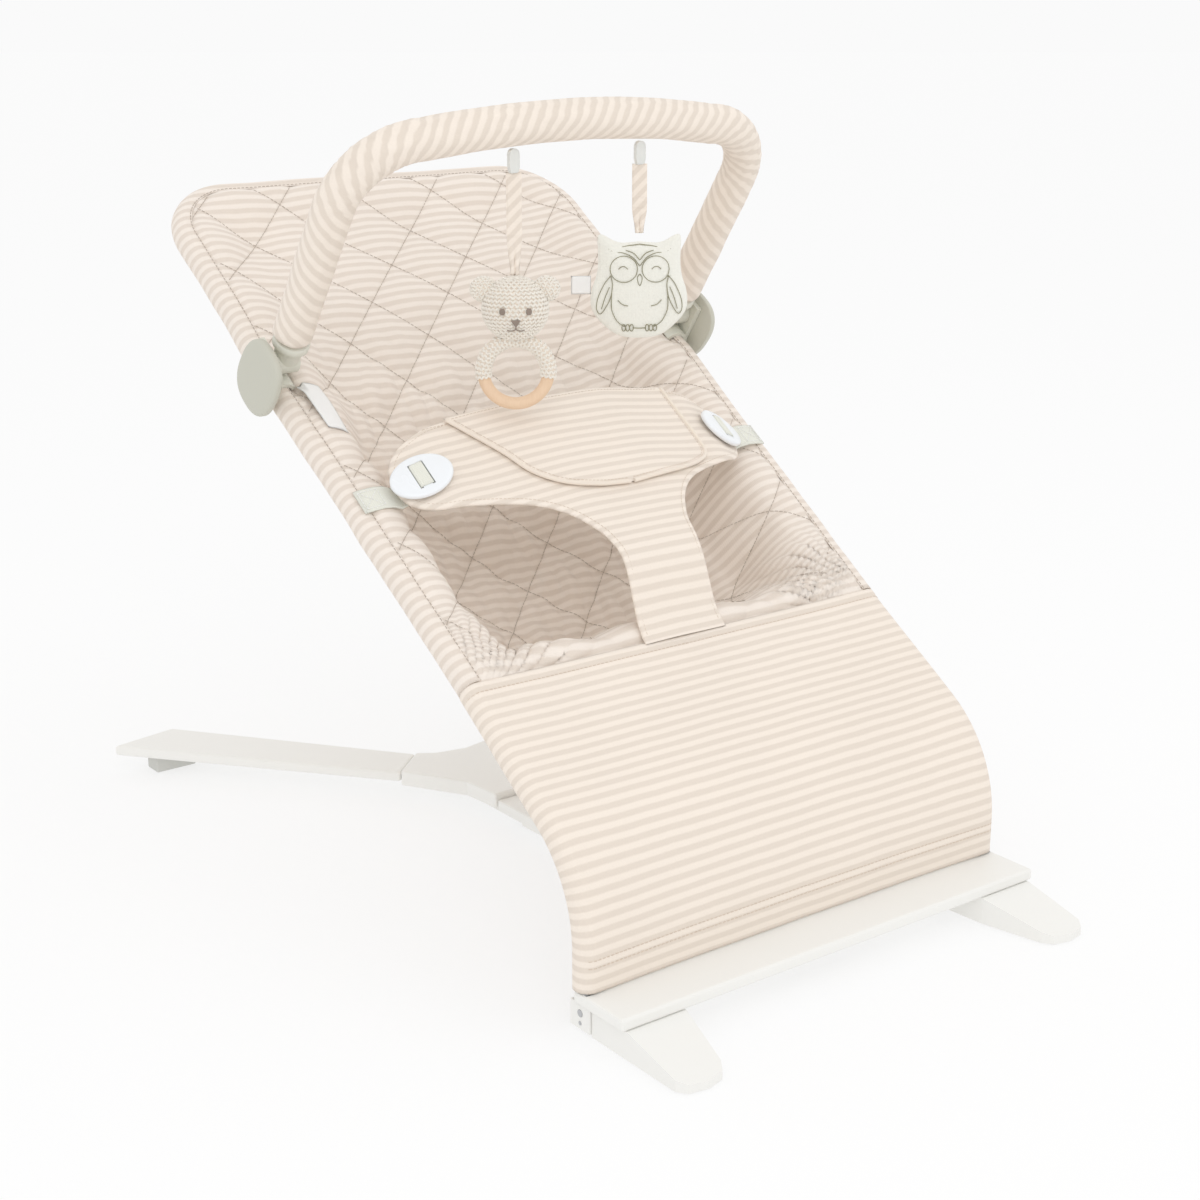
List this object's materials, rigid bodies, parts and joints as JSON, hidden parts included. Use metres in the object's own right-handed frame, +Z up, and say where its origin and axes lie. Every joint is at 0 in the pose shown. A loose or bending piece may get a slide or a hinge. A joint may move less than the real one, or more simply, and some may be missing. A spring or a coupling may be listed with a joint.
{
  "type": "baby bouncer seat",
  "caption": "Low reclining bouncer seat for a baby: sprung tube frame on a flat base, quilted cover, buttoned harness and a padded bar with hanging soft toys.",
  "frame": {"origin": "middle of the footprint, on the floor", "axes": "+Z up; -Y towards the front plate, where the feet go; +Y towards the head; X across the seat"},
  "size_m": [0.5436, 0.8315, 0.662],
  "materials": {
    "white_paint": "matt white powder coat",
    "grip_rubber": "matt",
    "steel": "satin silver-grey steel tube and pins",
    "stripe_fabric": "woven cotton with fine oatmeal and cream stripes",
    "quilt_fabric": "quilted cotton",
    "sage_plastic": "moulded, satin",
    "toggle_plastic": "moulded, smooth",
    "webbing": "woven webbing",
    "clear_plastic": "translucent white",
    "crochet": "crocheted cotton yarn",
    "beech": "bare sanded beech",
    "sage_plush": "short plush",
    "tag_cloth": "plain ribbon"
  },
  "bodies": {
    "base": {"front_plate": "white_paint", "front_foot_left": "white_paint", "front_foot_right": "white_paint", "front_grip_left": "grip_rubber", "front_grip_right": "grip_rubber", "base_spine": "white_paint", "rear_hub": "white_paint", "hub_screw_left": "steel", "hub_screw_right": "steel", "rear_leg_left": "white_paint", "rear_leg_right": "white_paint", "leg_grip_left": "grip_rubber", "leg_grip_right": "grip_rubber", "hinge_bracket_left": "steel", "hinge_bracket_right": "steel", "hinge_pin_left": "steel", "hinge_pin_right": "steel", "stop_pin_left": "steel", "stop_pin_right": "steel"},
    "frame_carrier": {"tube_lug_left": "steel", "tube_lug_right": "steel", "frame_riser_left": "steel", "frame_riser_right": "steel", "front_hem_band": "stripe_fabric"},
    "seat": {"frame_side_left": "steel", "frame_side_right": "steel", "side_sleeve_left": "stripe_fabric", "side_sleeve_right": "stripe_fabric", "frame_head_bow": "steel", "head_sleeve": "quilt_fabric", "front_panel": "stripe_fabric", "seat_pouch": "quilt_fabric", "back_panel": "quilt_fabric", "toggle_left": "toggle_plastic", "toggle_right": "toggle_plastic", "webbing_left": "webbing", "webbing_right": "webbing", "clamp_jaw_left": "sage_plastic", "clamp_jaw_right": "sage_plastic", "clamp_pin_left": "steel", "clamp_pin_right": "steel", "clamp_cap_left": "sage_plastic", "clamp_cap_right": "sage_plastic"},
    "harness": {"harness": "stripe_fabric", "harness_flap": "stripe_fabric"},
    "toy_bar": {"toy_bar_rod": "steel", "toy_bar_cover": "stripe_fabric", "bar_socket_left": "sage_plastic", "bar_socket_right": "sage_plastic"},
    "bear_toy": {"bear_link": "clear_plastic", "bear_strap": "stripe_fabric", "bear_head": "crochet", "wooden_ring": "beech", "ring_wrap": "crochet"},
    "owl_toy": {"owl_link": "clear_plastic", "owl_strap": "stripe_fabric", "owl_body": "sage_plush", "owl_tag": "tag_cloth"}
  },
  "joints": [
    {"name": "recline", "type": "hinge", "parent": "base", "child": "frame_carrier", "pos_m": [0, -0.2937, 0.016], "axis": [1, 0, 0], "range_deg": [-30, 0], "deforming": ["seat_pouch"]},
    {"name": "bounce", "type": "hinge", "parent": "frame_carrier", "child": "seat", "pos_m": [0, -0.2937, 0.06531], "axis": [1, 0, 0], "range_deg": [-6, 2], "stiffness_Nm_per_rad": 120, "springref_deg": 1.2},
    {"name": "toy_bar_swing", "type": "hinge", "parent": "seat", "child": "toy_bar", "pos_m": [0, 0.13363, 0.4459], "axis": [-1, 0, 0], "range_deg": [0, 70]},
    {"name": "bear_swing", "type": "hinge", "parent": "toy_bar", "child": "bear_toy", "pos_m": [-0.065, -0.00065, 0.61941], "axis": [1, 0, 0], "range_deg": [-30, 6]},
    {"name": "owl_swing", "type": "hinge", "parent": "toy_bar", "child": "owl_toy", "pos_m": [0.066, -0.00061, 0.61935], "axis": [1, 0, 0], "range_deg": [-30, 20]},
    {"name": "harness_fold", "type": "hinge", "parent": "seat", "child": "harness", "pos_m": [0, -0.15082, 0.23468], "axis": [1, 0, 0], "range_deg": [0, 110], "deforming": ["harness", "harness_flap"]}
  ]
}
